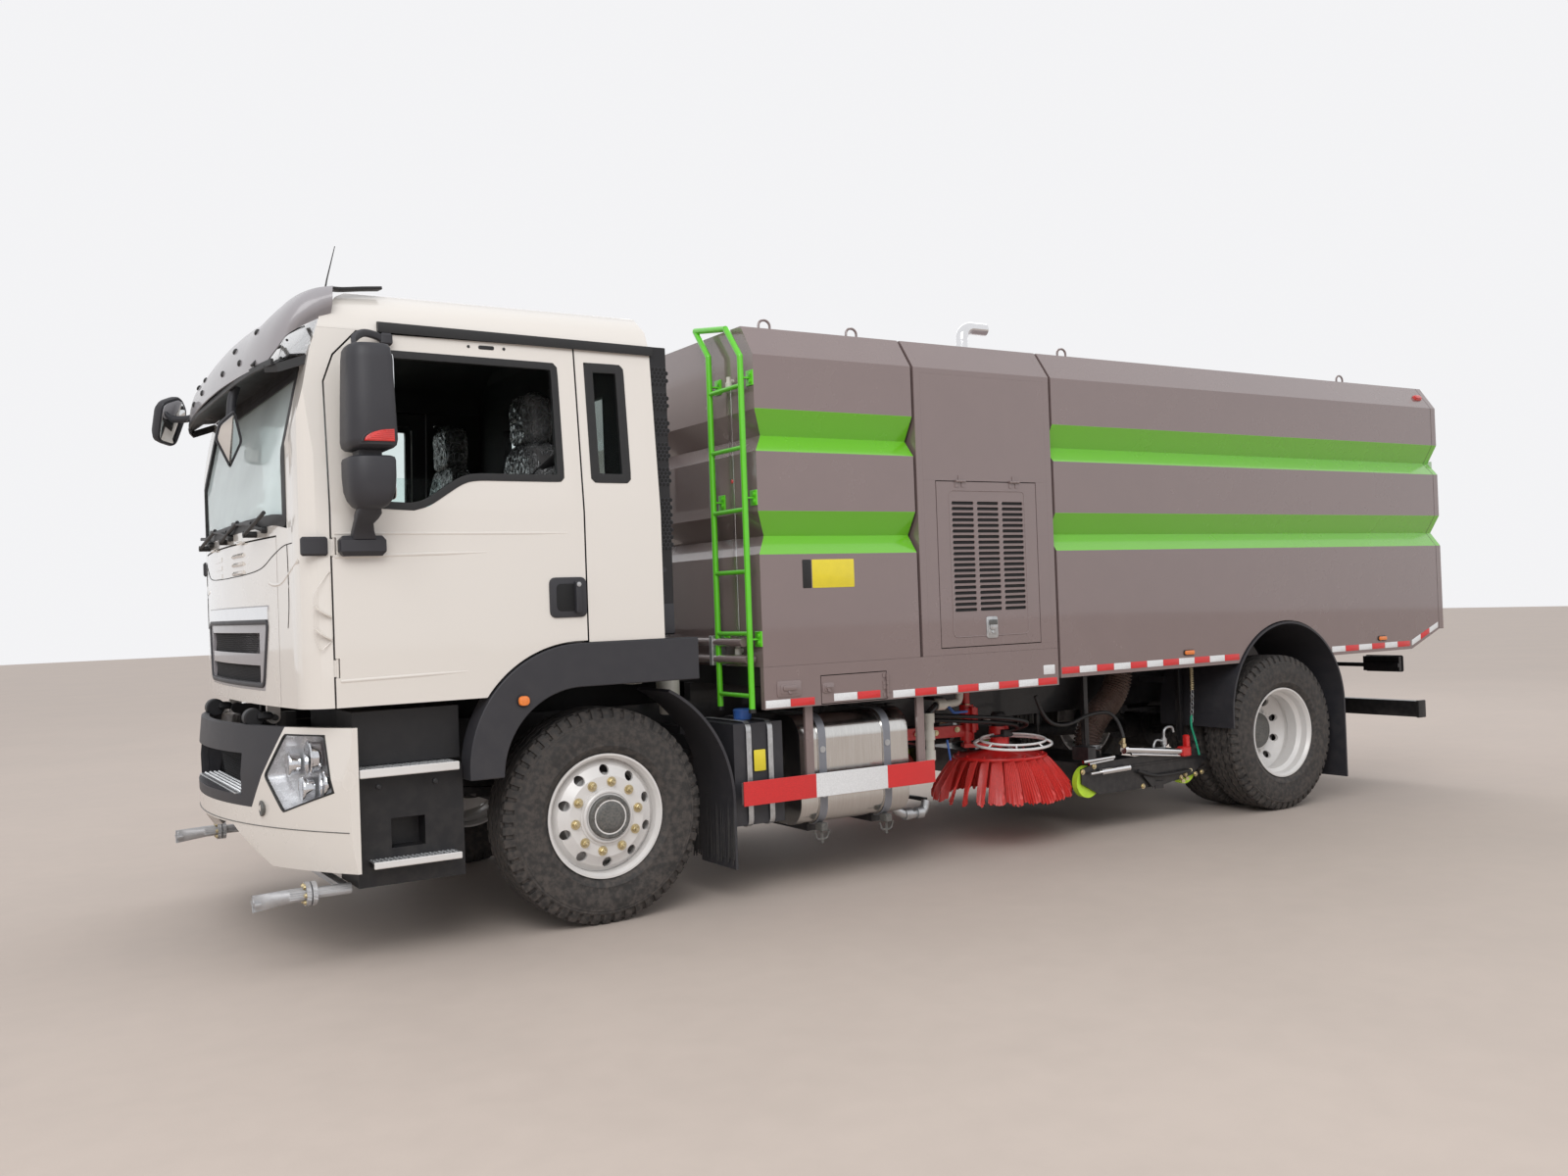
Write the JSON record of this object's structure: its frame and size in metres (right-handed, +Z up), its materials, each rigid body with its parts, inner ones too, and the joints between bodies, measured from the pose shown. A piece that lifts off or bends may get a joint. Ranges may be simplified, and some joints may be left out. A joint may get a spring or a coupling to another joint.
{
  "type": "street sweeper truck",
  "caption": "Street sweeper truck: cab-over chassis, ribbed grey water tank and tipping dirt hopper, side brushes and a suction nozzle between the axles.",
  "frame": {"origin": "on the ground under the middle of the whole vehicle", "axes": "+X towards the front of the truck, +Y to its left side, +Z up"},
  "size_m": [8.4979, 3.06, 3.243],
  "materials": {
    "cab_paint": "gloss",
    "body_paint": "gloss",
    "ladder_paint": "gloss",
    "gear_paint": "satin",
    "chassis_paint": "satin",
    "black_plastic": "matte",
    "cast": "matte",
    "wheel_paint": "satin",
    "tyre": "matte",
    "polished_alloy": "polished",
    "chrome": "polished",
    "window": "polished",
    "lamp": "polished",
    "trim": "matte",
    "hose": "matte",
    "small_tyre": "matte"
  },
  "bodies": {
    "root": {"chassis_frame": "chassis_paint", "axles": "cast", "engine_blocks": "cast", "front_bumper": "cab_paint", "bumper_panel": "black_plastic", "lamps": "lamp", "step_boxes": "black_plastic", "mudguards": "black_plastic", "fuel_tank": "polished_alloy", "chassis_boxes": "black_plastic", "guard_rails": "chassis_paint", "water_tank": "body_paint", "engine_housing": "body_paint", "body_sills": "body_paint", "exhaust_stack": "chrome", "ladder": "ladder_paint", "suction_hoses": "hose"},
    "cab": {"cab_shell": "cab_paint", "cab_glass": "window", "cab_trim": "black_plastic", "cab_interior": "trim"},
    "front_flap": {"front_flap": "cab_paint", "grille": "black_plastic"},
    "filler_flap": {"filler_flap": "body_paint"},
    "hopper": {"hopper": "body_paint"},
    "rear_door": {"rear_door": "body_paint"},
    "tipping_barrels": {"tipping_barrels": "chassis_paint"},
    "tipping_rods": {"tipping_rods": "chrome"},
    "tie_rod": {"tie_rod": "cast"},
    "suction_nozzle": {"suction_nozzle": "chassis_paint"},
    "knuckle_left": {"knuckle_left": "cast"},
    "wheel_front_left": {"wheel_front_left": "wheel_paint", "tyre_front_left": "tyre"},
    "wheels_rear_left": {"wheels_rear_left": "wheel_paint", "tyres_rear_left": "tyre"},
    "door_left": {"door_left": "cab_paint", "door_glass_left": "window", "mirror_left": "black_plastic"},
    "louvre_door_left": {"louvre_door_left": "body_paint"},
    "brush_arm_left": {"brush_arm_left": "gear_paint"},
    "brush_head_left": {"brush_head_left": "gear_paint"},
    "side_brush_left": {"side_brush_left": "gear_paint"},
    "nozzle_wheel_front_left": {"nozzle_wheel_front_left": "small_tyre"},
    "nozzle_wheel_rear_left": {"nozzle_wheel_rear_left": "small_tyre"},
    "knuckle_right": {"knuckle_right": "cast"},
    "wheel_front_right": {"wheel_front_right": "wheel_paint", "tyre_front_right": "tyre"},
    "wheels_rear_right": {"wheels_rear_right": "wheel_paint", "tyres_rear_right": "tyre"},
    "door_right": {"door_right": "cab_paint", "door_glass_right": "window", "mirror_right": "black_plastic"},
    "louvre_door_right": {"louvre_door_right": "body_paint"},
    "brush_arm_right": {"brush_arm_right": "gear_paint"},
    "brush_head_right": {"brush_head_right": "gear_paint"},
    "side_brush_right": {"side_brush_right": "gear_paint"},
    "nozzle_wheel_front_right": {"nozzle_wheel_front_right": "small_tyre"},
    "nozzle_wheel_rear_right": {"nozzle_wheel_rear_right": "small_tyre"}
  },
  "joints": [
    {"name": "steer_left", "type": "hinge", "parent": "root", "child": "knuckle_left", "pos_m": [2.61, 0.86, 0.527], "axis": [0, 0, 1], "range_deg": [-35, 35]},
    {"name": "steer_right", "type": "hinge", "parent": "root", "child": "knuckle_right", "pos_m": [2.61, -0.86, 0.527], "axis": [0, 0, 1], "range_deg": [-35, 35]},
    {"name": "tie_rod_pivot", "type": "hinge", "parent": "knuckle_left", "child": "tie_rod", "pos_m": [2.41, 0.86, 0.385], "axis": [0, 0, 1], "range_deg": [-35, 35]},
    {"name": "front_wheel_spin_left", "type": "hinge", "parent": "knuckle_left", "child": "wheel_front_left", "pos_m": [2.61, 1.01, 0.527], "axis": [0, 1, 0], "continuous": true},
    {"name": "rear_wheel_spin_left", "type": "hinge", "parent": "root", "child": "wheels_rear_left", "pos_m": [-2.39, 0.93, 0.527], "axis": [0, 1, 0], "continuous": true},
    {"name": "front_wheel_spin_right", "type": "hinge", "parent": "knuckle_right", "child": "wheel_front_right", "pos_m": [2.61, -1.01, 0.527], "axis": [0, 1, 0], "continuous": true},
    {"name": "rear_wheel_spin_right", "type": "hinge", "parent": "root", "child": "wheels_rear_right", "pos_m": [-2.39, -0.93, 0.527], "axis": [0, 1, 0], "continuous": true},
    {"name": "cab_tilt", "type": "hinge", "parent": "root", "child": "cab", "pos_m": [4.01, 0, 1.08], "axis": [0, 1, 0], "range_deg": [0, 45]},
    {"name": "cab_door_left", "type": "hinge", "parent": "cab", "child": "door_left", "pos_m": [3.891, 1.241, 1.6], "axis": [0, 0, -1], "range_deg": [0, 70]},
    {"name": "cab_door_right", "type": "hinge", "parent": "cab", "child": "door_right", "pos_m": [3.891, -1.241, 1.6], "axis": [0, 0, 1], "range_deg": [0, 70]},
    {"name": "front_flap_lift", "type": "hinge", "parent": "cab", "child": "front_flap", "pos_m": [4.114, 0, 1.909], "axis": [0, -1, 0], "range_deg": [0, 75]},
    {"name": "louvre_door_lift_left", "type": "hinge", "parent": "root", "child": "louvre_door_left", "pos_m": [0.212, 1.259, 2.1865], "axis": [1, 0, 0], "range_deg": [0, 85]},
    {"name": "louvre_door_lift_right", "type": "hinge", "parent": "root", "child": "louvre_door_right", "pos_m": [0.212, -1.259, 2.1865], "axis": [-1, 0, 0], "range_deg": [0, 85]},
    {"name": "filler_flap_swing", "type": "hinge", "parent": "root", "child": "filler_flap", "pos_m": [0.9795, 1.259, 1.065], "axis": [0, 0, 1], "range_deg": [0, 110]},
    {"name": "hopper_tip", "type": "hinge", "parent": "root", "child": "hopper", "pos_m": [-3.89, 0, 1.06], "axis": [0, -1, 0], "range_deg": [0, 45]},
    {"name": "ram_swing", "type": "hinge", "parent": "root", "child": "tipping_barrels", "pos_m": [-1.9, 0, 0.9], "axis": [0, 1, 0], "range_deg": [0, 21.5]},
    {"name": "ram_stroke", "type": "slide", "parent": "tipping_barrels", "child": "tipping_rods", "axis": [-0.9696, 0, 0.2448], "range_m": [0, 0.626]},
    {"name": "rear_door_lift", "type": "hinge", "parent": "hopper", "child": "rear_door", "pos_m": [-4.148, 0, 3.015], "axis": [0, 1, 0], "range_deg": [0, 80]},
    {"name": "brush_swing_left", "type": "hinge", "parent": "root", "child": "brush_arm_left", "pos_m": [0.46, 0.56, 0.7], "axis": [0, 0, -1], "range_deg": [0, 35]},
    {"name": "brush_lower_left", "type": "slide", "parent": "brush_arm_left", "child": "brush_head_left", "axis": [0, 0, -1], "range_m": [0, 0.24]},
    {"name": "brush_spin_left", "type": "hinge", "parent": "brush_head_left", "child": "side_brush_left", "pos_m": [-0.22, 0.78, 0.545], "axis": [0, 0, 1], "continuous": true},
    {"name": "brush_swing_right", "type": "hinge", "parent": "root", "child": "brush_arm_right", "pos_m": [0.46, -0.56, 0.7], "axis": [0, 0, 1], "range_deg": [0, 35]},
    {"name": "brush_lower_right", "type": "slide", "parent": "brush_arm_right", "child": "brush_head_right", "axis": [0, 0, -1], "range_m": [0, 0.24]},
    {"name": "brush_spin_right", "type": "hinge", "parent": "brush_head_right", "child": "side_brush_right", "pos_m": [-0.22, -0.78, 0.545], "axis": [0, 0, 1], "continuous": true},
    {"name": "nozzle_lower", "type": "slide", "parent": "root", "child": "suction_nozzle", "axis": [0, 0, -1], "range_m": [0, 0.23]},
    {"name": "nozzle_wheel_spin_front_left", "type": "hinge", "parent": "suction_nozzle", "child": "nozzle_wheel_front_left", "pos_m": [-0.755, 0.977, 0.336], "axis": [0, 1, 0], "continuous": true},
    {"name": "nozzle_wheel_spin_rear_left", "type": "hinge", "parent": "suction_nozzle", "child": "nozzle_wheel_rear_left", "pos_m": [-1.64, 0.977, 0.336], "axis": [0, 1, 0], "continuous": true},
    {"name": "nozzle_wheel_spin_front_right", "type": "hinge", "parent": "suction_nozzle", "child": "nozzle_wheel_front_right", "pos_m": [-0.755, -0.977, 0.336], "axis": [0, 1, 0], "continuous": true},
    {"name": "nozzle_wheel_spin_rear_right", "type": "hinge", "parent": "suction_nozzle", "child": "nozzle_wheel_rear_right", "pos_m": [-1.64, -0.977, 0.336], "axis": [0, 1, 0], "continuous": true}
  ],
  "couplings": [
    {"joint": "steer_right", "follows": "steer_left", "ratio": 1},
    {"joint": "tie_rod_pivot", "follows": "steer_left", "ratio": -1},
    {"joint": "ram_swing", "follows": "hopper_tip", "ratio": 0.4551},
    {"joint": "ram_stroke", "follows": "hopper_tip", "m_per_rad": 0.7841}
  ]
}
